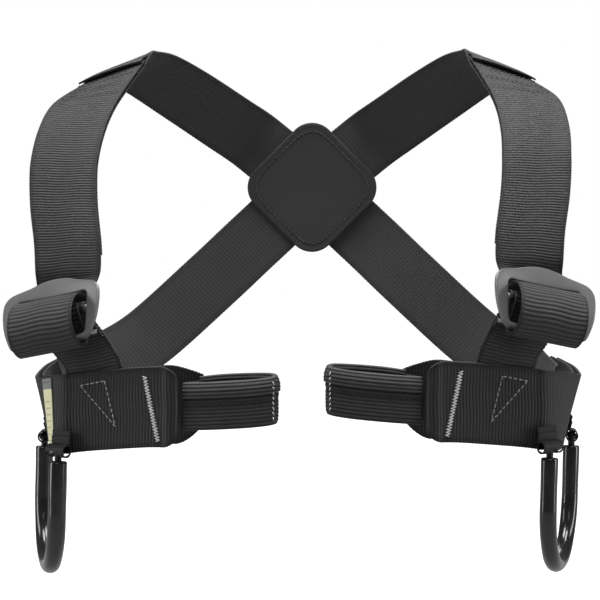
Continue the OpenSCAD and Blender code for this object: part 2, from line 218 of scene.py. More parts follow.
def label_cloth():
    """Satin label: a blue-grey header over a pale yellow field, with plain bars and no words."""
    n = Nodes("label_cloth")
    split = n.add("SeparateXYZ", {"Vector": n.attribute("web", "Vector")})
    up, along = n.maths("MULTIPLY", split.outputs[0], -1.0), split.outputs[1]
    place = n.add("TexCoord").outputs["Object"]
    header = n.maths("GREATER_THAN", up, 17.0)
    colour = n.mix(header, srgb(250, 248, 200), srgb(112, 118, 121))
    row = n.maths("LESS_THAN", n.maths("FRACT", n.maths("MULTIPLY", up, 1 / 4.2)), 0.22)
    inside = n.maths("LESS_THAN", n.maths("ABSOLUTE", n.maths("ADD", along, -7.5)), 5.2)
    field = n.maths("LESS_THAN", n.maths("ABSOLUTE", n.maths("ADD", up, 5.0)), 14.5)
    bar = n.maths("MULTIPLY", n.maths("MULTIPLY", row, inside), field)
    colour = n.mix(n.maths("MULTIPLY", bar, 0.45), colour, srgb(120, 120, 104))
    cloud = n.noise(place, 90, 3)
    colour = n.mix(n.maths("MULTIPLY", cloud, 0.22), colour, srgb(238, 236, 205))
    weft = n.maths("SINE", n.maths("MULTIPLY", up, 2 * math.pi / 0.4))
    return n.finish(Base_Color=colour, Roughness=0.55, Sheen_Weight=0.15, Normal=n.bump(weft, 0.2, 0.1))


MATERIALS = {
    "webbing": fabric("webbing", srgb(3), srgb(65), sheen=0.07),
    "back_webbing": fabric("back_webbing", srgb(42), srgb(62), sheen=0.1, rough=0.8),
    "band_webbing": fabric("band_webbing", srgb(4), srgb(51), sheen=0.07),
    "sleeve": fabric("sleeve_webbing", srgb(2), srgb(68), sheen=0.08),
    "patch": fabric("patch_cloth", srgb(36), srgb(60), yarn_mm=0.9, sheen=0.1, rough=0.85, twill=0.0),
    "cord": fabric("cord_braid", srgb(8), srgb(34), yarn_mm=0.8, sheen=0.08),
    "white_thread": thread("white_thread", srgb(252)),
    "grey_thread": thread("grey_thread", srgb(180)),
    "dark_thread": thread("dark_thread", srgb(56)),
    "black_thread": thread("black_thread", srgb(12)),
    "plate_metal": plate_metal(),
    "tube_plastic": tube_plastic(),
    "label": label_cloth(),
}

# ------------------------------------------------- reading the CAD cross-sections


def unit(v):
    return v / np.linalg.norm(v, axis=-1, keepdims=True)


def distances(line):
    """Distance along a polyline at each of its points."""
    return np.concatenate([[0], np.cumsum(np.linalg.norm(np.diff(line, axis=0), axis=1))])


def node_mesh(node):
    """Welded points and triangles of a CAD node."""
    mesh = frame["nodes"][node].data
    co = np.empty(len(mesh.vertices) * 3)
    mesh.vertices.foreach_get("co", co)
    points, index = np.unique(np.round(co.reshape(-1, 3), 6), axis=0, return_inverse=True)
    tris = index.reshape(-1)[np.array([p.vertices[:] for p in mesh.polygons])]
    return points, tris


SECTION = 8  # points round the section of a CAD ribbon


def end_caps(points, tris):
    """The flat end faces of a ribbon: patches of coplanar triangles that meet their neighbours squarely."""
    a, b, c = (points[tris[:, i]] for i in range(3))
    normals = unit(np.cross(b - a, c - a))
    by_edge = {}
    for i, tri in enumerate(tris):
        for j in range(3):
            by_edge.setdefault(frozenset((tri[j], tri[j - 1])), []).append(i)
    beside = {i: set() for i in range(len(tris))}
    for pair in by_edge.values():
        for i in pair:
            beside[i].update(k for k in pair if k != i)
    caps = []
    seen = set()
    for first in range(len(tris)):
        if first in seen:
            continue
        patch = {first}
        edge = [first]
        while edge:
            i = edge.pop()
            fresh = [k for k in beside[i] if k not in patch and normals[i] @ normals[k] > 0.9995]
            patch.update(fresh)
            edge.extend(fresh)
        seen |= patch
        around = {k for i in patch for k in beside[i]} - patch
        square = all(abs(normals[first] @ normals[k]) < 0.9 for k in around)
        if len(patch) == SECTION - 2 and square:
            caps.append(sorted({v for i in patch for v in tris[i]}))
    return caps


class Path:
    """Cross-sections along a strap: centre, across and outward directions, half width, distance along."""

    def __init__(self, centre, across, out, half):
        self.centre, self.across, self.out, self.half = centre, across, out, half
        self.along = distances(centre)
        self.length = self.along[-1]

    def part(self, first, last):
        pick = slice(first, last)
        return Path(self.centre[pick], self.across[pick], self.out[pick], self.half[pick])

    def at(self, s):
        """Smooth samples at distances s along the path."""

        def curve(values):
            slope = np.gradient(values, self.along, axis=0)
            i = np.clip(np.searchsorted(self.along, s, side="right") - 1, 0, len(self.along) - 2)
            span = (self.along[i + 1] - self.along[i])[:, None]
            t = ((s - self.along[i])[:, None]) / span
            p, q, m, k = values[i], values[i + 1], slope[i] * span, slope[i + 1] * span
            return (2*t**3 - 3*t**2 + 1)*p + (t**3 - 2*t**2 + t)*m + (3*t**2 - 2*t**3)*q + (t**3 - t**2)*k

        across = unit(curve(self.across))
        out = curve(self.out)
        out = unit(out - across * np.sum(out * across, axis=1, keepdims=True))
        return Path(curve(self.centre), across, out, curve(self.half[:, None])[:, 0])

    def extended(self, towards, length_mm):
        """The path carried on past its end in a straight line."""
        steps = np.linspace(0, length_mm * MM, 4)[1:]
        more = self.centre[-1] + np.outer(steps, unit(np.array(towards, float)))
        hold = [np.concatenate([v, np.repeat(v[-1:], 3, axis=0)]) for v in (self.across, self.out, self.half)]
        return Path(np.concatenate([self.centre, more]), *hold)

    def resample(self, step):
        return self.at(np.linspace(0, self.length, max(2, round(self.length / step) + 1)))


def ribbon_path(node, start, outward):
    """The path of a CAD ribbon, from its end that lies furthest towards start, facing outward there."""
    points, tris = node_mesh(node)
    links = [set() for _ in points]
    for tri in tris:
        for j in range(3):
            links[tri[j]].update((tri[j - 1], tri[j - 2]))
    caps = end_caps(points, tris)
    if len(caps) != 2:
        raise ValueError(f"{node}: {len(caps)} end faces found, not 2")
    ring = max(caps, key=lambda cap: points[cap].mean(axis=0) @ np.array(start, float))
    used = set()
    centres, acrosses, outs, halves = [], [], [], []
    across, out = None, np.array(outward, float)
    while ring:
        used.update(ring)
        p = points[list(ring)]
        centre = p.mean(axis=0)
        _, _, axes = np.linalg.svd(p - centre)
        wide, thick = axes[0], axes[1]
        if across is not None and wide @ across < 0:
            wide = -wide
        if thick @ out < 0:
            thick = -thick
        across, out = wide, thick
        centres.append(centre)
        acrosses.append(wide)
        outs.append(thick)
        halves.append(np.abs((p - centre) @ wide).max())
        ring = sorted({k for i in ring for k in links[i]} - used)
    return Path(np.array(centres), np.array(acrosses), np.array(outs), np.array(halves))


# --------------------------------------------------------------- mesh builders


def placed(name, data):
    """A new object in the scene."""
    obj = bpy.data.objects.new(name, data)
    bpy.context.collection.objects.link(obj)
    return obj


def make_object(name, shape, material, body, node, web=None, ridge=None):
    """A mesh piece with its material, the CAD body it rides on and the CAD node it stands for.

    web holds each point's place in the weave in mm, and ridge runs from 0 in a groove to 1 on a crest.
    """
    points, faces = shape
    mesh = bpy.data.meshes.new(name)
    mesh.from_pydata([tuple(p) for p in points], [], [tuple(int(i) for i in f) for f in faces])
    mesh.validate()
    if web is not None:
        mesh.attributes.new("web", "FLOAT_VECTOR", "POINT").data.foreach_set("vector", web.ravel())
        mesh.attributes.new("ridge", "FLOAT", "POINT").data.foreach_set("value", ridge.ravel())
    mesh.polygons.foreach_set("use_smooth", [True] * len(mesh.polygons))
    mesh.materials.append(MATERIALS[material])
    obj = placed(name, mesh)
    bpy.context.view_layer.update()
    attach(obj, body)
    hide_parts(node)


def merged(shapes):
    """One array of points and one list of faces from several such pairs."""
    faces = []
    base = 0
    for points, part in shapes:
        faces += [[base + v for v in face] for face in part]
        base += len(points)
    return np.concatenate([points for points, _ in shapes]), faces


def tube_faces(rows, columns):
    """Quads between neighbouring loops of a tube of rows loops, each of columns points."""
    r = np.arange(rows - 1)[:, None] * columns
    j = np.arange(columns)[None, :]
    k = (j + 1) % columns
    return np.stack([r + j, r + k, r + k + columns, r + j + columns], axis=-1).reshape(-1, 4).tolist()


def end_polygons(rows, columns):
    """One flat face over each open end of such a tube."""
    last = (rows - 1) * columns
    return [list(range(columns))[::-1], [last + j for j in range(columns)]]


def solid_tube(loops):
    """Points and faces of a closed tube through loops of points, an array of rows by columns by 3."""
    size = loops.shape[:2]
    return loops.reshape(-1, 3), tube_faces(*size) + end_polygons(*size)


def end_strips(rows, columns):
    """The open ends of a wide, thin tube closed by quads from its top side to its bottom side."""
    faces = []
    for base, turn in ((0, 1), ((rows - 1) * columns, -1)):
        for i in range(columns // 2 - 1):
            quad = [base + i, base + i + 1, base + columns - 2 - i, base + columns - 1 - i]
            faces.append(quad[::turn])
    return faces


def rib_height(x_mm, pitch_mm):
    """Crest 1, groove 0, along a line across the ribs."""
    x = np.abs((x_mm / pitch_mm) % 1.0 - 0.5) * 2
    return 1 - np.clip(x, 0, 1) ** 2.1


SELVEDGE = 1.6  # mm over which the ribs die out towards the edges of a strap
WANDER = 0.35  # mm by which a rib strays from a straight line


def webbing_mesh(path, thick_mm=1.8, pitch_mm=2.4, rib_mm=0.34, step_mm=0.34, columns=13,
                 sway_mm=0.18, serrate_mm=0.14, bend=None):
    """Points, faces, web and ridge of a ribbed strap with soft selvedges along a path.

    The strap sways in and out by sway_mm, its ribs stand out of the selvedges by serrate_mm,
    and bend adds a height in mm at u across and s along, where the half width is h.
    """
    p = path.resample(step_mm * MM)
    run = p.along / MM
    r = thick_mm / 2
    h = p.half[:, None] / MM
    # the upper half of the section: left selvedge, top, right selvedge
    bevel = np.linspace(0, math.pi / 2, 5)[:-1]
    edge = np.ones(len(bevel))
    top = np.linspace(-1, 1, columns)
    middle = np.concatenate([-edge, top, edge])
    edge_u = np.concatenate([-np.cos(bevel), 0 * top, np.cos(bevel[::-1])])
    edge_z = np.concatenate([np.sin(bevel), 0 * top + 1, np.sin(bevel[::-1])])
    u = middle * (h - r) + edge_u * r
    s = run[:, None] + 0 * u
    rib = rib_height(s + WANDER * np.sin(u * 0.21 + s * 0.05), pitch_mm)
    # the ribs notch the selvedges and die out just inside them
    near_edge = np.clip((np.abs(u) - h + SELVEDGE) / SELVEDGE, 0, 1)
    u = u + np.sign(u) * near_edge * serrate_mm * (2 * rib - 1)
    fade = np.clip((h - np.abs(u) - 0.5) / SELVEDGE, 0, 1)
    rib = rib * fade
    # no two ribs are quite the same height, and the strap isn't quite flat
    uneven = 1 + 0.12 * np.sin(s * 0.63 + 1.3 * np.sin(s * 0.11)) * np.cos(u * 0.35)
    z = edge_z * (r - rib_mm * (1 - rib) * fade * uneven)
    sway = sway_mm * (np.sin(run * 0.045 + p.length * 90) + 0.5 * np.sin(run * 0.11))[:, None]
    bow = bend(u, s, h) if bend else 0 * u

    def layer(way):
        off = (way * z + sway * 0.5 + bow)[:, :, None] * MM
        return p.centre[:, None, :] + p.across[:, None, :] * u[:, :, None] * MM + p.out[:, None, :] * off

    def both(upper, lower):
        return np.concatenate([upper, lower[:, ::-1]], axis=1)

    points = both(layer(1), layer(-1)).reshape(-1, 3)
    web = np.stack([both(u, u), both(s, s), both(0 * s, 0 * s + 1)], axis=-1).reshape(-1, 3)
    size = len(run), 2 * u.shape[1]
    return points, tube_faces(*size) + end_strips(*size), web, both(rib, rib).reshape(-1)


def cloth_object(name, straps, body, node, material):
    """One object from several webbing meshes."""
    web, ridge = (np.concatenate([strap[k] for strap in straps]) for k in (2, 3))
    make_object(name, merged([strap[:2] for strap in straps]), material, body, node, web, ridge)


def webbing(name, path, body, node, material="webbing", **looks):
    cloth_object(name, [webbing_mesh(path, **looks)], body, node, material)


def swept(line, plane_normal, radii, sides=32, relief=0, run=None):
    """A round section swept along a plane line; its radius may vary along it, and relief adds to it."""
    line = np.asarray(line, float)
    run = unit(np.gradient(line, axis=0)) if run is None else run
    side = unit(np.cross(run, plane_normal))
    turn = np.linspace(0, 2 * math.pi, sides, endpoint=False)
    r = np.asarray(radii, float)[:, None] + relief
    return solid_tube(line[:, None, :] + (np.cos(turn) * r)[:, :, None] * side[:, None, :]
                      + (np.sin(turn) * r)[:, :, None] * np.asarray(plane_normal)[None, None, :])


THREAD_SIDES = 6


def threads(name, strokes, radius_mm, body, node, material):
    """Sewn stitches: each stroke is a short rounded run of thread through its points."""
    turn = np.linspace(0, 2 * math.pi, THREAD_SIDES, endpoint=False)[:, None]
    shapes = []
    for stroke in strokes:
        line = np.asarray(stroke, float)
        run = unit(np.gradient(line, axis=0))
        side = unit(np.cross(run, [0.13, 0.31, 0.94]))
        up = np.cross(side, run)
        width = np.full(len(line), radius_mm * MM)
        width[[0, -1]] *= 0.35
        rings = np.cos(turn) * side[:, None] + np.sin(turn) * up[:, None]
        shapes.append(solid_tube(line[:, None] + width[:, None, None] * rings))
    make_object(name, merged(shapes), material, body, node)


def arched(a, b, out, rise_mm):
    """Points of one stitch from a to b, sunk at its ends and standing rise_mm proud in the middle."""
    t = np.linspace(0, 1, 5)[:, None]
    return a + (b - a) * t + out * (np.sin(math.pi * t) - 0.35) * rise_mm * MM


def dashes(points, out, stitch_mm, gap_mm, rise_mm):
    """Stitches along a polyline of points with matching outward directions."""
    points, out = np.asarray(points, float), np.asarray(out, float)
    along = distances(points)
    strokes = []
    s = 0.0
    while s + stitch_mm * MM * 0.6 < along[-1]:
        e = min(s + stitch_mm * MM, along[-1])
        start, end = (np.array([np.interp(x, along, points[:, i]) for i in range(3)]) for x in (s, e))
        face = np.array([np.interp((s + e) / 2, along, out[:, i]) for i in range(3)])
        strokes.append(arched(start, end, face, rise_mm))
        s = e + gap_mm * MM
    return strokes


def zigzag(start, end, across, out, width_mm, pitch_mm, rise_mm):
    """A bar tack: stitches running to and fro across the line from start to end."""
    length = np.linalg.norm(end - start)
    count = max(4, 2 * round(length / (pitch_mm * MM)))
    strokes = []
    for i in range(count):
        a, b = (start + (end - start) * (k / count) for k in (i, i + 1))
        jitter = rng.uniform(-0.2, 0.2, 2) * MM
        half = across * (width_mm / 2 * MM if i % 2 else -width_mm / 2 * MM)
        strokes.append(arched(a - half + across * jitter[0], b + half + across * jitter[1], out, rise_mm))
    return strokes


# ------------------------------------------------------------------ the straps


def shoulder_and_back(side, sign):
    """The shoulder strap, carried on into the buckle's slot, and the back strap that lines it."""
    shoulder = ribbon_path(f"{side}_shoulder_strap", (0, 0, 1), (0, -1, 0.5))
    shoulder = shoulder.extended((0.15 * sign, -0.2, -0.97), 4.2)
    webbing(f"{side}_shoulder_webbing", shoulder, "harness", f"{side}_shoulder_strap", rib_mm=0.4,
            pitch_mm=1.8, step_mm=0.28, columns=15)
    back = ribbon_path(f"{side}_back_strap", (sign, 0, 0), (0, -1, 0))
    webbing(f"{side}_back_webbing", back, "harness", f"{side}_back_strap", "back_webbing",
            rib_mm=0.12, step_mm=0.6, columns=11)
    crest_fold(side, shoulder, back)


def crest_fold(side, shoulder, back):
    """The short flap of webbing that is folded over the upper end of the shoulder strap."""
    crest = back.resample(1 * MM)
    gap = crest.centre - shoulder.centre[0]
    first = int(np.argmin(np.linalg.norm(gap, axis=1)))
    lift = -gap[first] @ crest.out[first]
    fold = crest.part(first - 4, first + 14)
    rise = np.interp(fold.along / MM, [0, 4, 9, 17],
                     [2 * lift + 0.6 * MM, 2 * lift + 0.4 * MM, lift + 0.5 * MM, 0.4 * MM])
    fold = Path(fold.centre + fold.out * rise[:, None], fold.across, fold.out, fold.half - 0.3 * MM)
    webbing(f"{side}_crest_fold_webbing", fold, "harness", f"{side}_back_strap", rib_mm=0.22,
            thick_mm=1.5, step_mm=0.4, sway_mm=0.0, bend=lambda u, s, h: -1.3 * (np.abs(u) / h) ** 3)


def adjuster_roll(side):
    """The free end of the shoulder strap, coarse where it bends round the bar and the lip."""
    roll = ribbon_path(f"{side}_adjuster_roll", (0, 1, 0), (0, 0, 1))
    webbing(f"{side}_roll_webbing", roll, f"{side}_buckle", f"{side}_adjuster_roll", pitch_mm=2.8,
            rib_mm=0.56, columns=25)


BAND_PITCH, BAND_THICK = 2.2, 1.7
# half width at the very front end of the band, what it gains further back, and over what length
END_HALF, END_GAIN, END_RUN = 15.5, 10, 11


def band_outer(side, sign):
    """The outer layer of a side band: its front end is rounded, and stands up over the edge of the sleeve."""
    outer = ribbon_path(f"{side}_side_band_outer", (0, 1, 0), (sign, 0, 0)).resample(1 * MM)
    front = outer.length / MM
    to_end = front - outer.along / MM
    rounded = END_HALF + END_GAIN * np.sqrt(1 - (1 - np.clip(to_end / END_RUN, 0, 1)) ** 2)
    outer.half = np.where(to_end < 20, rounded * MM, outer.half)

    def swell(_u, s, _h):
        return 1.3 * np.exp(-((front - s - 6.5) / 3) ** 2) + 0.2 * np.clip(1 - (front - s) / 3, 0, 1) ** 2

    webbing(f"{side}_band_outer_webbing", outer, "harness", f"{side}_side_band_outer", "band_webbing",
            pitch_mm=BAND_PITCH, rib_mm=0.34, thick_mm=BAND_THICK, columns=15, bend=swell)


def band_lining(side, sign):
    """The inner layer of a side band, with a slight belly in its lower edge near the front."""
    lining = ribbon_path(f"{side}_side_band_lining", (0, 1, 0), (-sign, 0, 0)).resample(1 * MM)
    belly = 1.8 * MM * np.sin(math.pi * np.clip((lining.length - lining.along) / (24 * MM), 0, 1))
    lining.half = lining.half + belly
    lining.centre = lining.centre - np.outer(belly, (0, 0, 1))
    webbing(f"{side}_band_lining_webbing", lining, "harness", f"{side}_side_band_lining", "band_webbing",
            pitch_mm=BAND_PITCH, rib_mm=0.26, thick_mm=BAND_THICK, columns=15)


def eye_path(side):
    return ribbon_path(f"{side}_eye_webbing", (0, -1, 0), (0, -1, 0))


def eye_loop(side):
    """The narrow webbing inside a front eye's sleeve."""
    webbing(f"{side}_eye_loop_webbing", eye_path(side), f"{side}_front_eye", f"{side}_eye_webbing",
            "band_webbing", pitch_mm=BAND_PITCH, rib_mm=0.26)


for side, sign in SIDES:
    shoulder_and_back(side, sign)
    adjuster_roll(side)
    band_outer(side, sign)
    band_lining(side, sign)
    eye_loop(side)

# -------------------------------------------------- places on straps and buckles


def joint_line(name, towards):
    """A joint's place and the direction of its axis, turned to point towards a direction."""
    along = unit(np.array(joints[name]["axis"], float))
    return np.array(joints[name]["pos_m"], float), along if along @ towards > 0 else -along


def bar_frame(side, sign):
    """Bar centre, then the directions outward along the bar, out of the chest and up the buckle strap."""
    origin, along = joint_line(f"{side}_buckle_tilt", (sign, 0, 0))
    up = unit(np.array([0, 0, 1.0]) - along[2] * along)
    out = np.cross(up, along)
    return origin, along, out if out[1] < 0 else -out, up


def on_path(path, s_mm, u_mm, off_mm):
    """Points on a strap, s along, u across and off above its middle, and the outward directions there."""
    p = path.at(np.atleast_1d(np.asarray(s_mm, float)) * MM)
    u, off = (np.asarray(v, float).reshape(-1, 1) * MM for v in (u_mm, off_mm))
    return p.centre + p.across * u + p.out * off, p.out


def footprint(path, node):
    """Where a CAD node lies on a strap, in mm: its extents along and across it, and its height off it."""
    fine = path.resample(0.5 * MM)
    points, _ = node_mesh(node)
    gap = points[:, None] - fine.centre[None]
    gap_across = np.sum(gap * fine.across[None], axis=2)
    i = np.argmin(np.sum(gap ** 2, axis=2) - gap_across ** 2, axis=1)
    rows = np.arange(len(points))
    u = gap_across[rows, i] / MM
    off = np.sum(gap[rows, i] * fine.out[i], axis=1) / MM
    s = fine.along[i] / MM
    return (s.min(), s.max()), (u.min(), u.max()), off.mean()


def flat_run(line, origin, e1, e2, across, low, high):
    """A strap path along a line in the plane e1, e2, outward to its left, from low to high along across."""
    line = np.asarray(line, float)
    low, high = (np.broadcast_to(v, len(line)) for v in (low, high))
    run = unit(np.gradient(line, axis=0))
    left = np.stack([-run[:, 1], run[:, 0]], axis=1)
    centre = origin + (line[:, :1] * e1 + line[:, 1:] * e2) * MM + np.outer((low + high) / 2, across) * MM
    out = left[:, :1] * e1 + left[:, 1:] * e2
    return Path(centre, np.tile(across, (len(line), 1)), out, (high - low) / 2 * MM)


def spline(points, count):
    """A smooth line through the given points, count steps between each two."""
    p = np.asarray(points, float)
    p = np.concatenate([2 * p[:1] - p[1:2], p, 2 * p[-1:] - p[-2:-1]])
    t = np.linspace(0, 1, count, endpoint=False)[:, None]
    runs = [0.5 * (2*b + t*(c - a) + t*t*(2*a - 5*b + 4*c - d) + t**3*(3*b - a - 3*c + d))
            for a, b, c, d in zip(p[:-3], p[1:-2], p[2:-1], p[3:])]
    return np.concatenate(runs + [p[-2:-1]])


# ------------------------------------------------------------ adjuster buckles

# half of the plate's outline in mm, outward along the bar and up the plate, from its lower corner to its top
PLATE_EDGE = [(26, -22.5), (28.8, -20.5), (31.6, -14.5), (33.9, -7), (35, 2), (34.8, 9), (33.4, 13.2),
              (30.6, 16.4), (26, 18.6), (17, 21.4), (9, 24.2), (0, 25.3)]
PLATE_LEAN = math.radians(28)
PLATE_DISH = 150.0  # radius of the plate's curve along the bar
PLATE_THICK = 2.8
PLATE_ROUND = 1.25  # radius of its edges
PLATE_CROWN = 0.12  # how far its face stands proud between two edges
SLOT_HALF, SLOT_LOW, SLOT_HIGH = 25.0, -18.3, 11.8
SLOT_CORNER = 3.0
BAR_HALF = 26.5
BAR_PROFILE = [(-1, 2.2), (-0.995, 2.8), (-0.98, 3.0), (0.98, 3.0), (0.995, 2.8), (1, 2.2)]


def plate_outline():
    mirrored = [(-x, z) for x, z in PLATE_EDGE[-2::-1]]
    return spline(PLATE_EDGE + mirrored, 8)


def slot_outline():
    """Evenly spaced points round the opening that holds both webbing slots and the bar."""
    r, step = SLOT_CORNER, 0.45
    turn = np.linspace(0, math.pi / 2, 8)
    corners = [(SLOT_HALF - r, SLOT_LOW + r, -90), (SLOT_HALF - r, SLOT_HIGH - r, 0),
               (-SLOT_HALF + r, SLOT_HIGH - r, 90), (-SLOT_HALF + r, SLOT_LOW + r, 180)]
    line = [(x + r * math.cos(math.radians(d) + a), z + r * math.sin(math.radians(d) + a))
            for x, z, d in corners for a in turn]
    line = np.array(line + line[:1])
    along = distances(line)
    s = np.arange(0, along[-1] - step / 2, step)
    return np.stack([np.interp(s, along, line[:, k]) for k in (0, 1)], axis=1)


def cast(centre, towards, outline):
    """Where rays from centre through the points towards meet a closed outline."""
    edge = np.roll(outline, -1, axis=0) - outline
    d = unit(towards - centre)
    rel = outline[None] - centre
    cross = d[:, None, 0] * edge[None, :, 1] - d[:, None, 1] * edge[None, :, 0]
    cross = np.where(np.abs(cross) < 1e-9, 1e-9, cross)
    t = (rel[:, :, 0] * edge[None, :, 1] - rel[:, :, 1] * edge[None, :, 0]) / cross
    u = (rel[:, :, 0] * d[:, None, 1] - rel[:, :, 1] * d[:, None, 0]) / cross
    t = np.where((u >= -1e-6) & (u <= 1 + 1e-6) & (t > 0), t, np.inf)
    return centre + d * t.min(axis=1)[:, None]


def plate_section():
    """Stations round the plate's section: an inset in mm, a fraction of its width to add, and the height."""
    r, half = PLATE_ROUND, PLATE_THICK / 2
    turn = np.radians(np.linspace(-90, 90, 9))
    outer_edge = [(r * (1 - math.cos(a)), 0, half * math.sin(a)) for a in turn]
    face = [(r * (1 - 2 * f), f, half + PLATE_CROWN * math.sin(math.pi * f)) for f in (0.2, 0.4, 0.6, 0.8)]
    slot_edge = [(-r * (1 - math.cos(a)), 1, half * math.sin(a)) for a in turn[::-1]]
    rear = [(r * (1 - 2 * f), f, -half) for f in (0.75, 0.5, 0.25)]
    return outer_edge + face + slot_edge + rear


def buckle_plate(side, sign):
    """The dished plate with its rounded edges, and the centre bar across its opening."""
    origin, along, out, up = bar_frame(side, sign)
    top = up * math.cos(PLATE_LEAN) - out * math.sin(PLATE_LEAN)
    back = -out * math.cos(PLATE_LEAN) - up * math.sin(PLATE_LEAN)
    inner = slot_outline()
    outer = cast(np.array([0.0, -3.0]), inner, plate_outline())
    width = np.linalg.norm(inner - outer, axis=1)
    rings = []
    for inset, fraction, off in plate_section():
        flat = outer + (inner - outer) * ((inset + fraction * width) / width)[:, None]
        dish = np.sqrt(PLATE_DISH ** 2 - flat[:, 0] ** 2) - PLATE_DISH
        rings.append(origin + MM * (np.outer(flat[:, 0], along) + np.outer(dish - off, back)
                                    + np.outer(flat[:, 1], top)))
    points = np.stack(rings, axis=1)
    rows, columns = points.shape[:2]
    faces = [[v % (rows * columns) for v in f] for f in tube_faces(rows + 1, columns)]
    if sign < 0:
        faces = [f[::-1] for f in faces]
    stops, radii = np.transpose(BAR_PROFILE)
    bar = swept(origin + np.outer(stops * BAR_HALF, along) * MM, out, radii * MM)
    make_object(f"{side}_buckle", merged([(points.reshape(-1, 3), faces), bar]), "plate_metal",
                f"{side}_buckle", f"{side}_buckle_plate")


LOOP_RADIUS = 3.95  # of the middle of the webbing round the bar
PANEL_BACK = -6.0  # how far behind the bar the strap runs inside the side band


def buckle_strap(side, sign):
    """The strap folded round the bar: short tail in front, long leg down into the side band behind."""
    origin, along, out, up = bar_frame(side, sign)
    tail = spline([(-3.3, -19), (-2.4, -12), (-1.7, -8.5), (-0.4, -5.4), (1.9, -3.5)], 4)[:-1]
    turn = np.radians(np.arange(-61, 181, 8))
    loop = np.stack([LOOP_RADIUS * np.cos(turn), LOOP_RADIUS * np.sin(turn)], axis=1)
    leg = spline([(-4.0, -1.2), (-4.7, -8), (PANEL_BACK - 0.6, -20), (PANEL_BACK, -32), (PANEL_BACK, -44),
                  (PANEL_BACK, -69)], 6)
    line = np.concatenate([tail, loop, leg])[::-1]
    z = line[:, 1]
    shift = 2 * sign
    outboard = np.interp(z, [-70, -34, -6, 8], [1 + shift, 4.5 + shift, 20.5, 20.5])
    inboard = np.interp(z, [-70, -34, -10, -6, 8], [-38 + shift, -35 + shift, -26, -24, -24])
    path = flat_run(line, origin, out, up, along, inboard, outboard)
    webbing(f"{side}_buckle_strap_webbing", path, "harness", f"{side}_buckle_strap", pitch_mm=2.3,
            rib_mm=0.3, columns=19, serrate_mm=0.3)
    middle = origin + out * -1.75 * MM - up * 15.4 * MM
    tack = zigzag(middle - along * 27 * MM, middle + along * 11 * MM, up, out, 3.0, 1.2, 0.5)
    threads(f"{side}_buckle_strap_tack", tack, 0.3, "harness", f"{side}_buckle_strap_bar_tack",
            "white_thread")


for side, sign in SIDES:
    buckle_plate(side, sign)
    buckle_strap(side, sign)

# ---------------------------------------------------------- eye sleeves and seams

SLEEVE_HALF, SLEEVE_RISE = 15.1, 2.55  # half the sleeve's height, and from its middle to a face
FLAP_EDGE_U, SEAM_U = 5.2, 1.0  # where the upper half ends over the lower one, and the seam below it
TIP_STATION = 24  # the cross-section at the tip of the eye


def sleeve(side, core):
    """A closed tube of ribbed cloth round the eye webbing, its upper half lapped over the lower half."""
    p = core.resample(0.9 * MM)
    turn = np.linspace(0, 2 * math.pi, 240, endpoint=False)
    u = SLEEVE_HALF * np.sign(np.cos(turn)) * np.abs(np.cos(turn)) ** 0.62
    z = SLEEVE_RISE * np.sign(np.sin(turn)) * np.abs(np.sin(turn)) ** 0.42
    rib = rib_height(u + 60, 2.3)
    s = p.along[:, None] / MM
    face = np.clip(z / SLEEVE_RISE, 0, 1)
    lap = 1.0 / (1 + np.exp(-(u - FLAP_EDGE_U) / 0.09)) * np.clip((SLEEVE_HALF - u) / 5, 0, 1)
    seam = 0.5 * np.exp(-((u - SEAM_U) / 0.7) ** 2) + 0.35 * np.exp(-((u - FLAP_EDGE_U + 0.7) / 0.5) ** 2)
    puff = 0.22 * np.sin(s * 0.19 + u * 0.11) + 0.12 * np.sin(s * 0.47 - u * 0.3)
    ends = 0.35 * (np.exp(-s / 1.6) + np.exp(-(p.length / MM - s) / 1.6))
    off = (z + face * (lap - seam)
           + np.sign(z) * (-0.42 * (1 - rib) + puff * 0.5 - ends) * np.abs(z / SLEEVE_RISE))
    loops = (p.centre[:, None, :] + p.across[:, None, :] * (u[None, :, None] * MM)
             + p.out[:, None, :] * (off[:, :, None] * MM))
    web = np.stack([np.broadcast_to(s, off.shape), np.broadcast_to(u[None, :], off.shape), 0 * off], -1)
    # painted shadow just under the flap's edge and a painted highlight along the edge itself, carried in
    # ridge
    shade = np.exp(-((u - FLAP_EDGE_U + 0.8) / 0.8) ** 2)
    edge = np.exp(-((u - FLAP_EDGE_U - 0.5) / 0.4) ** 2)
    ridge = np.broadcast_to(rib * (1 - 0.85 * shade) * (1 - edge) + 1.5 * edge, off.shape)
    make_object(f"{side}_eye_sleeve_cloth", solid_tube(loops), "sleeve", f"{side}_front_eye",
                f"{side}_eye_sleeve", web, ridge)


def sleeve_stitches(side, core):
    """The dark seam under the flap's edge and the white stitches down the tip of the eye."""
    run = np.linspace(4, 54, 60)
    line, out = on_path(core, run, np.full(60, SEAM_U), np.full(60, 2.45))
    threads(f"{side}_sleeve_seam_stitches", dashes(line, out, 2.3, 1.3, 0.3), 0.3, f"{side}_front_eye",
            f"{side}_eye_sleeve_seam", "black_thread")
    tip = core.along[TIP_STATION] / MM
    rows_u = np.linspace(-12.2, 13.2, 9)
    strokes = []
    for a, b in zip(rows_u[:-1], rows_u[1:]):
        pair, out = on_path(core, [tip + 0.3, tip - 0.2], (a + 0.35, a + (b - a) * 0.78), [3.0, 3.0])
        strokes.append(arched(pair[0], pair[1], out[0], 0.35))
    threads(f"{side}_eye_tip_thread", strokes, 0.36, f"{side}_front_eye", f"{side}_eye_tip_stitches",
            "white_thread")


for side, sign in SIDES:
    core = eye_path(side).part(1, 57)
    sleeve(side, core)
    sleeve_stitches(side, core)

# --------------------------------------------------------------- stitches on the bands

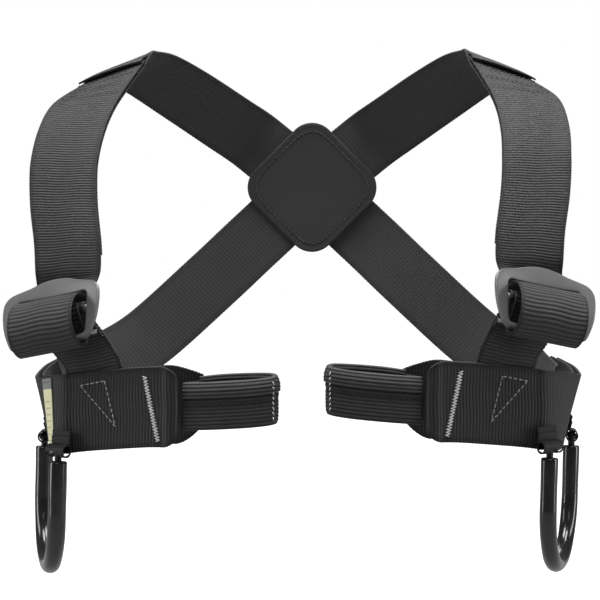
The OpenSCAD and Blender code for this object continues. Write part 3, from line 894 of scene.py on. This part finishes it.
PANEL_SLOPE = math.atan(0.3445)  # how far the flat front of a band turns backwards
PANEL_EDGE = (90, -205)  # x and y of its front edge, mm
TACK_Z = -133.4  # height of the middle of the white tack on a harness that hangs evenly
FACE = 3.35  # mm from the panel's middle plane to its outer face
TRIANGLE = [(53.4, -120.6), (36.4, -117), (28.9, -145.7)]


def band_stitches(side, sign):
    """The white bar tack and the grey triangle on the flat front of a side band."""
    across = np.array([sign * math.cos(PANEL_SLOPE), math.sin(PANEL_SLOPE), 0])
    out = np.array([sign * math.sin(PANEL_SLOPE), -math.cos(PANEL_SLOPE), 0])
    low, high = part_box(f"{side}_band_bar_tack")
    lift = (low[2] + high[2]) / 2 / MM - TACK_Z

    def on_panel(x, z, off):
        return (np.array([sign * PANEL_EDGE[0], PANEL_EDGE[1], z + lift]) + across * x + out * off) * MM

    tack = zigzag(on_panel(8.6, -113, FACE), on_panel(-0.4, -153.8, FACE), across, out, 3.4, 1.9, 0.5)
    threads(f"{side}_band_tack_thread", tack, 0.34, "harness", f"{side}_band_bar_tack", "white_thread")
    corners = [on_panel(x, z, FACE - 0.05) for x, z in TRIANGLE + TRIANGLE[:1]]
    strokes = []
    for a, b in zip(corners[:-1], corners[1:]):
        strokes += dashes([a, b], [out, out], 2.6, 1.0, 0.5)
    threads(f"{side}_triangle_thread", strokes, 0.42, "harness", f"{side}_triangle_stitch", "grey_thread")


def tack_rows(side, sign, node, host):
    """Three rows of dark stitches where a CAD tack lies on its strap."""
    path = ribbon_path(f"{side}_{host}", (0, -1, 0), (sign, -0.3, 0.6))
    s, u, off = footprint(path, f"{side}_{node}")
    strokes = []
    for row in np.linspace(s[0] + 0.4, s[1] - 0.4, 3):
        line, out = on_path(path, np.full(15, row), np.linspace(u[0], u[1], 15), np.full(15, off))
        strokes += dashes(line, out * math.copysign(1, off), 2.4, 0.9, 0.35)
    threads(f"{side}_{node}_thread", strokes, 0.26, "harness", f"{side}_{node}", "dark_thread")


for side, sign in SIDES:
    band_stitches(side, sign)
    tack_rows(side, sign, "rear_bar_tack", "side_band_outer")
    tack_rows(side, sign, "shoulder_bar_tack", "shoulder_strap")

# -------------------------------------------------------------------- gear loops

CORD_RADIUS, KNOT_RADIUS = 2.2, 3.0
TUBE_CORE = 2.7  # radius of the hollow in each end of the tube
TAB_RADIUS, TAB_THICK = 3.8, 0.9
TAB_SLOT_HALF = 2.75
# each tab: the direction of its bore in degrees, its lean in degrees and its width in mm
TABS = {"front": (33, 2, 15.2), "rear": (88, 17, 12.0)}


def loop_frame(side):
    """The gear loop's pivots, directions and sizes, from its joint and its CAD tube."""
    origin, along = joint_line(f"{side}_gear_loop_swing", (0, 1, 0))
    points, _ = node_mesh(f"{side}_gear_tube")
    middle = (points.min(axis=0) + points.max(axis=0)) / 2 - origin
    down = unit(middle - along * (middle @ along))
    normal = np.cross(along, down)
    size = np.ptp(points @ normal)
    drop = (points - origin) @ down
    return SimpleNamespace(origin=origin, along=along, down=down, normal=normal, radius=size / 2,
                           span=np.ptp(points @ along) - size, depth=drop.max() - size / 2, neck=drop.min())


def u_line(loop, top, step_mm):
    """The loop's middle line, both legs starting at a distance top below the pivots."""
    step = step_mm * MM
    r = loop.span / 2
    legs = np.arange(top, loop.depth - r, step)
    arc = np.linspace(0, math.pi, round(math.pi * r / step))
    q = np.concatenate([np.stack([0 * legs, legs], 1),
                        np.stack([r - r * np.cos(arc), loop.depth - r + r * np.sin(arc)], 1),
                        np.stack([0 * legs + loop.span, legs], 1)[::-1]])
    return loop.origin + q[:, :1] * loop.along + q[:, 1:] * loop.down


def gear_tube(side, sign, loop):
    """The stiff tube, with softened rims and a hollow in each end."""
    line = u_line(loop, loop.neck, 1.2)
    start, end = line[0], line[-1]
    rim, hollow = loop.down * 0.35 * MM, loop.down * 4 * MM
    uneven = 1 + 0.012 * np.sin(np.arange(len(line)) * 0.21 + sign)
    line = np.concatenate([[start + hollow, start, start, start + rim], line[1:-1],
                           [end + rim, end, end, end + hollow]])
    mouth = np.array([TUBE_CORE * MM, TUBE_CORE * MM, loop.radius * 0.93, loop.radius * 0.99])
    radii = np.concatenate([mouth, loop.radius * uneven[1:-1], mouth[::-1]])
    run = np.gradient(line, axis=0)
    run[:4] = loop.down
    run[-4:] = -loop.down
    make_object(f"{side}_gear_loop_tube", swept(line, loop.normal, radii, run=unit(run)), "tube_plastic",
                f"{side}_gear_loop", f"{side}_gear_tube")


def gear_cord(side, loop):
    """The braided cord through the tube and the swirled knot on each of its ends."""
    line = u_line(loop, 0.0, 0.6)
    turn = np.linspace(0, 2 * math.pi, 20, endpoint=False)[None, :]
    row = np.arange(len(line))[:, None] * 0.6
    braid = 0.11 * MM * np.cos(4 * turn + row * 1.3) * np.cos(4 * turn - row * 1.3)
    shapes = [swept(line, loop.normal, np.full(len(line), CORD_RADIUS * MM), 20, braid)]
    rise = np.linspace(0.02, math.pi - 0.02, 22)
    swirl = 0.16 * MM * np.cos(3 * turn + rise[:, None] * 7) * np.sin(rise)[:, None]
    for pivot in (loop.origin, loop.origin + loop.along * loop.span):
        ball_line = pivot + np.outer(-np.cos(rise) * (KNOT_RADIUS + 0.1) * MM, loop.down)
        shapes.append(swept(ball_line, loop.normal, np.sin(rise) * KNOT_RADIUS * MM, 20, swirl))
    points, faces = merged(shapes)
    web = np.stack([points @ loop.along, points @ loop.down, points @ loop.normal], -1) / MM
    make_object(f"{side}_gear_loop_cord", (points, faces), "cord", f"{side}_gear_loop",
                f"{side}_gear_cord", web, np.full(len(points), 0.6))


def gear_tab(side, sign, which, loop):
    """A short tape folded round the cord's knot and sewn to the band, slotted below for the cord."""
    pivot = loop.origin if which == "front" else loop.origin + loop.along * loop.span
    bore_deg, lean_deg, width = TABS[which]
    d, lean = math.radians(bore_deg), math.radians(lean_deg)
    bore = np.array([sign * math.cos(d), math.sin(d), 0])
    back = np.array([-sign * math.sin(d), math.cos(d), 0])
    up = np.array([0, 0, 1.0])
    skew = math.atan2(loop.along[1], sign * loop.along[0]) - d
    half_slot = TAB_SLOT_HALF / math.cos(skew)
    outward = np.array([math.cos(lean), math.sin(lean)])
    upward = np.array([-math.sin(lean), math.cos(lean)])

    def ring(first, last):
        a = np.radians(np.arange(first, last, -8.0))
        return np.stack([TAB_RADIUS * np.cos(a), TAB_RADIUS * np.sin(a)], 1)

    def strip(line, low, high):
        return webbing_mesh(flat_run(line, pivot, back, up, bore, low, high), thick_mm=TAB_THICK,
                            pitch_mm=1.5, rib_mm=0.16, step_mm=0.25, columns=9, sway_mm=0.0, serrate_mm=0.08)

    inner_flap = np.array([outward * TAB_RADIUS + upward * k for k in np.arange(12.5, 0, -1.0)])
    outer_flap = np.array([outward * (TAB_RADIUS - 1.0) + upward * k for k in np.arange(3.0, 9.5, 1.0)])
    bottom = ring(-26, -186)
    slot_middle = -bottom[:, 0] * math.tan(skew)
    half = width / 2
    strips = [strip(np.concatenate([inner_flap, ring(lean_deg, -32)]), -half, half),
              strip(np.concatenate([ring(-176, lean_deg - 318), outer_flap]), -half, half),
              strip(bottom, -half, np.clip(slot_middle - half_slot, 0.9 - half, None)),
              strip(bottom, np.clip(slot_middle + half_slot, None, half - 0.9), half)]
    cloth_object(f"{side}_gear_{which}_tab_tape", strips, "harness", f"{side}_gear_{which}_tab", "cord")


for side, sign in SIDES:
    loop = loop_frame(side)
    gear_tube(side, sign, loop)
    gear_cord(side, loop)
    for which in TABS:
        gear_tab(side, sign, which, loop)

# ------------------------------------------------------------ crossing patch, label

PATCH_HALF, PATCH_CORNER = 38.0, 17.5
PATCH_SEAM = 4.5  # how far inside the patch's edge its seam is sunk


def quarter_turned(points):
    """Points of the patch's own square turned by 45 degrees, so that it stands on a corner."""
    x, z = points[..., 0], points[..., 1]
    return np.stack([x - z, x + z], axis=-1) / math.sqrt(2)


def rounded_square(count):
    """Points round the patch's outline at equal angles about its centre."""
    turn = np.linspace(0, 2 * math.pi, count, endpoint=False)
    d = np.stack([np.cos(turn), np.sin(turn)], 1)
    straight = PATCH_HALF - PATCH_CORNER
    reach = PATCH_HALF / np.abs(d).max(axis=1)
    b = np.abs(d).sum(axis=1) * straight
    curved = b + np.sqrt(np.maximum(b * b - 2 * straight ** 2 + PATCH_CORNER ** 2, 0))
    at_corner = np.abs(d).min(axis=1) * reach > straight
    return d * np.where(at_corner, curved, reach)[:, None]


def patch(name, node, facing):
    """A rounded square of firm cloth with soft edges and a seam sunk into the side it faces."""
    low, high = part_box(node)
    middle, thick = (high[1] + low[1]) / 2 / MM, (high[1] - low[1]) / 2 / MM
    outline = rounded_square(256)
    f = np.concatenate([np.linspace(0.001, 0.97, 34), [0.985, 0.995, 1.0]])[:, None]
    flat = quarter_turned(f[:, :, None] * outline[None])
    x, z = flat[:, :, 0], flat[:, :, 1]
    edge = np.sqrt(np.clip(1 - ((f - 0.975).clip(0) / 0.025) ** 2, 0.02, 1))
    weave = 0.05 * np.sin(x * 2 * math.pi / 1.1) * np.sin(z * 2 * math.pi / 1.1)
    soft = 0.12 * np.sin(x * 0.16 + 1) * np.sin(z * 0.13)
    inside = (1 - f) * np.linalg.norm(outline, axis=1)
    seam = -0.3 * np.exp(-((inside - PATCH_SEAM) / 0.7) ** 2)

    def layer(way):
        y = middle + way * (thick * edge + weave + (seam if way == facing else 0)) + soft * 0.4
        return np.stack([x, y, z], -1)

    points, faces = solid_tube(np.concatenate([layer(-1), layer(1)[::-1]]) * MM)
    make_object(name, (points, faces), "patch", "harness", node, points[:, [0, 2, 1]] / MM,
                np.full(len(points), 0.65))


def patch_stitches():
    """A row of dark stitches round the outside of the patch, and one round its wearer's side."""
    _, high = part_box("crossing_patch_stitching")
    turn = np.linspace(0, 2 * math.pi, 97)
    circle = np.stack([np.cos(turn), np.sin(turn)], 1)
    square = np.sign(circle) * np.abs(circle) ** 0.42
    strokes = []
    for half, y, way in ((30.6, high[1] - 0.2 * MM, 1.0), (33.0, -0.15 * MM, -1.0)):
        spun = quarter_turned(square * half) * MM
        line = np.stack([spun[:, 0], np.full(len(spun), y), spun[:, 1]], 1)
        strokes += dashes(line, np.tile([0, way, 0], (len(spun), 1)), 2.6, 1.0, 0.3)
    threads("crossing_patch_thread", strokes, 0.28, "harness", "crossing_patch_stitching", "dark_thread")


def label():
    """The thin label and the stitches along its sewn edge."""
    cloth = webbing_mesh(ribbon_path("size_label", (0, 1, 0), (-1, 0, 0)), thick_mm=0.5, pitch_mm=0.8,
                         rib_mm=0.05, step_mm=0.4, columns=41, sway_mm=0.1, serrate_mm=0.0)
    cloth_object("size_label_cloth", [cloth], "size_label_flap", "size_label", "label")
    seam = ribbon_path("size_label_stitching", (0, 1, 0), (-1, 0, 0))
    threads("size_label_thread", dashes(seam.centre, seam.out, 1.8, 0.9, 0.25), 0.22, "size_label_flap",
            "size_label_stitching", "dark_thread")


patch("crossing_patch_wearer_side", "crossing_patch_inner", -1)
patch("crossing_patch_outside", "crossing_patch_outer", 1)
patch_stitches()
label()

# ------------------------------------------------------- camera, light and floor

AZIMUTH, ELEVATION = math.radians(2.0), math.radians(4.0)
DISTANCE, LENS = 1.4, 125.5
TARGET = Vector((-0.0047, -0.112, -0.0734))
FILL = 0.11  # strength of the white surroundings for everything but the camera
FLOOR_GAP = 0.09  # from the lowest CAD point down to the floor
# each light: its place, what it looks at, its width and height, and its power
LIGHTS = {
    "top": ((0, -0.25, 1.25), (0, -0.1, 0), (1.2, 0.7), 35),
    "left_strip": ((-1.2, -0.25, 0.05), (0, -0.1, -0.1), (0.3, 1.2), 7),
    "right_strip": ((1.2, -0.25, 0.05), (0, -0.1, -0.1), (0.3, 1.2), 7),
    "back": ((0, 1.3, 0.7), (0, -0.05, -0.05), (1.0, 0.8), 9),
    "front": ((0.1, -1.6, 0.9), (0, -0.1, -0.05), (1.0, 0.5), 1.5),
    "low": ((0, -0.6, -0.75), (0, -0.15, -0.25), (1.3, 0.3), 1.6),
}


def aim(obj, place, target):
    obj.location = place
    obj.rotation_euler = (Vector(target) - Vector(place)).to_track_quat("-Z", "Y").to_euler()


def add_camera():
    back = Vector((math.sin(AZIMUTH) * math.cos(ELEVATION), -math.cos(AZIMUTH) * math.cos(ELEVATION),
                   math.sin(ELEVATION)))
    camera = placed("camera", bpy.data.cameras.new("camera"))
    camera.data.lens = LENS
    camera.data.sensor_width = 36
    aim(camera, TARGET + back * DISTANCE, TARGET)
    bpy.context.scene.camera = camera


def add_light(name, place, look_at, size, power):
    data = bpy.data.lights.new(name, "AREA")
    data.shape = "RECTANGLE"
    data.size, data.size_y = size
    data.energy = power
    aim(placed(name, data), place, look_at)


def add_surroundings():
    """White to the camera, and a faint fill light to the object."""
    world = bpy.data.worlds.new("studio")
    bpy.context.scene.world = world
    world.use_nodes = True
    nodes, links = world.node_tree.nodes, world.node_tree.links
    strength = nodes.new("ShaderNodeMath")
    strength.operation = "MULTIPLY_ADD"
    strength.inputs[1].default_value = 1 - FILL
    strength.inputs[2].default_value = FILL
    nodes["Background"].inputs["Color"].default_value = (1, 1, 1, 1)
    links.new(nodes.new("ShaderNodeLightPath").outputs["Is Camera Ray"], strength.inputs[0])
    links.new(strength.outputs[0], nodes["Background"].inputs["Strength"])


def add_floor():
    """A pale floor: white to the camera, grey to the light that falls on it."""
    low = cad_box[0][2] - FLOOR_GAP
    n = Nodes("floor")
    n.finish(Base_Color=(0.3, 0.3, 0.3, 1), Roughness=0.8, Emission_Color=(1, 1, 1, 1),
             Emission_Strength=n.add("LightPath").outputs["Is Camera Ray"])
    mesh = bpy.data.meshes.new("floor")
    mesh.from_pydata([(-3, -3, low), (3, -3, low), (3, 3, low), (-3, 3, low)], [], [(0, 1, 2, 3)])
    mesh.materials.append(n.material)
    placed("floor", mesh)


add_camera()
add_surroundings()
add_floor()
for name, settings in LIGHTS.items():
    add_light(name, *settings)
bpy.context.scene.view_settings.view_transform = "Standard"
